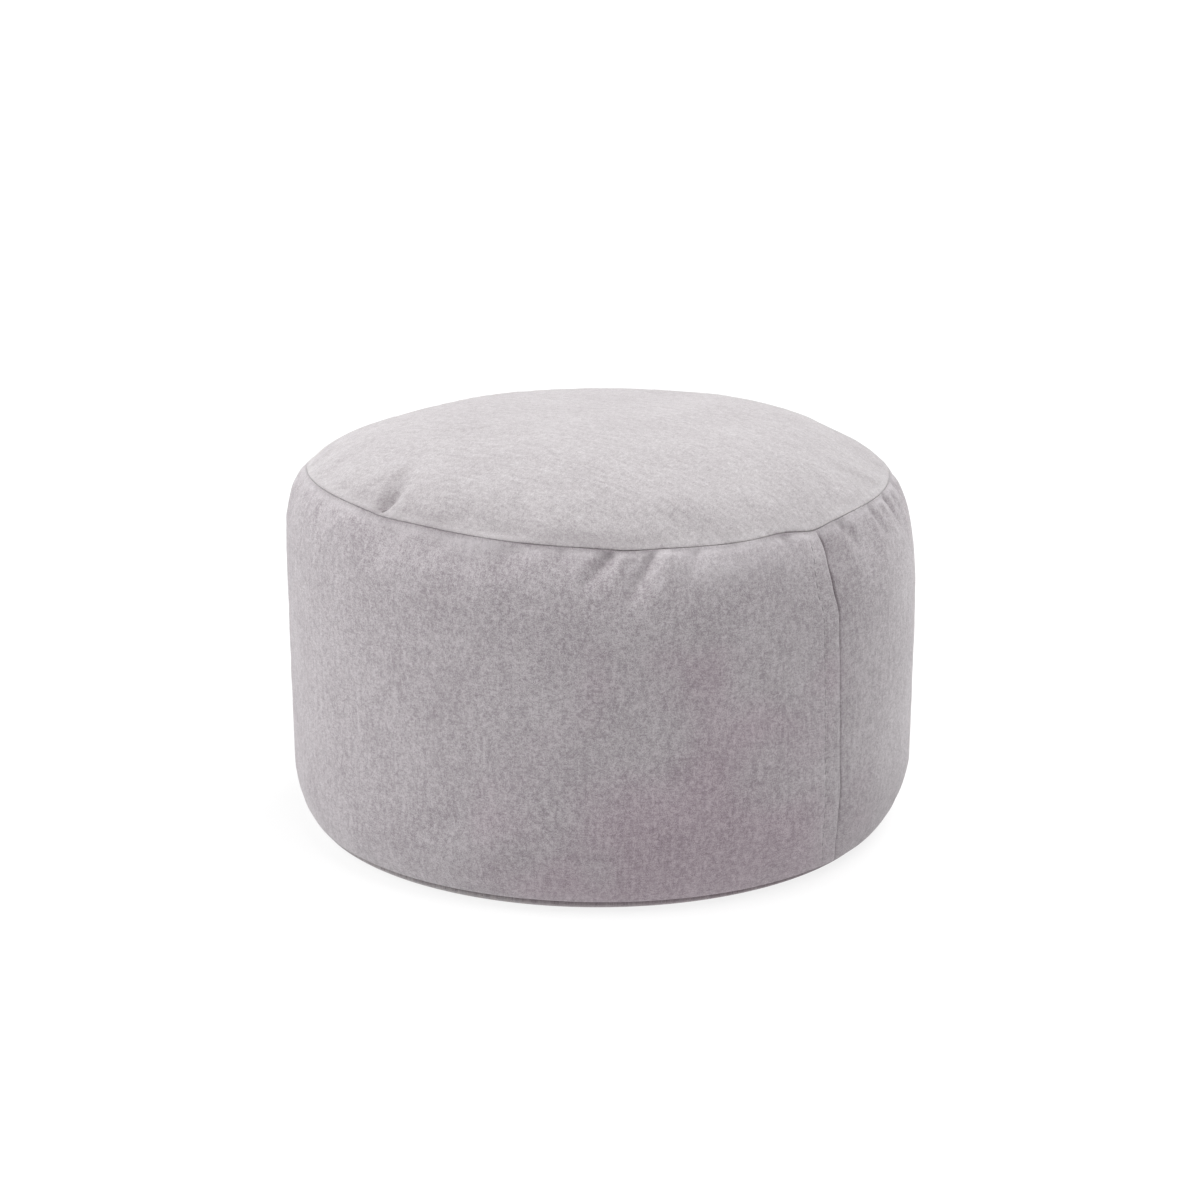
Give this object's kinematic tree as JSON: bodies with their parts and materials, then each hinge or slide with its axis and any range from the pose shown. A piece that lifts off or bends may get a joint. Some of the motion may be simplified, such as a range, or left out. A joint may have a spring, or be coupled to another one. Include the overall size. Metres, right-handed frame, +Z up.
{
  "type": "round floor cushion",
  "caption": "Tall round stuffed floor cushion in light grey heathered cloth, with a crowned top, plain seams and a flat base.",
  "frame": {"origin": "middle of the flat underside", "axes": "+Z up through the crowned top, -Y towards the front, so the upright closing seam is to the right of the front"},
  "size_m": [0.42, 0.42, 0.2761],
  "materials": {
    "cloth_top": "matte heathered weave",
    "cloth_band": "matte heathered weave",
    "cloth_base": "matte heathered weave"
  },
  "bodies": {
    "root": {"top_panel": "cloth_top", "side_band": "cloth_band", "base_panel": "cloth_base"}
  },
  "joints": []
}
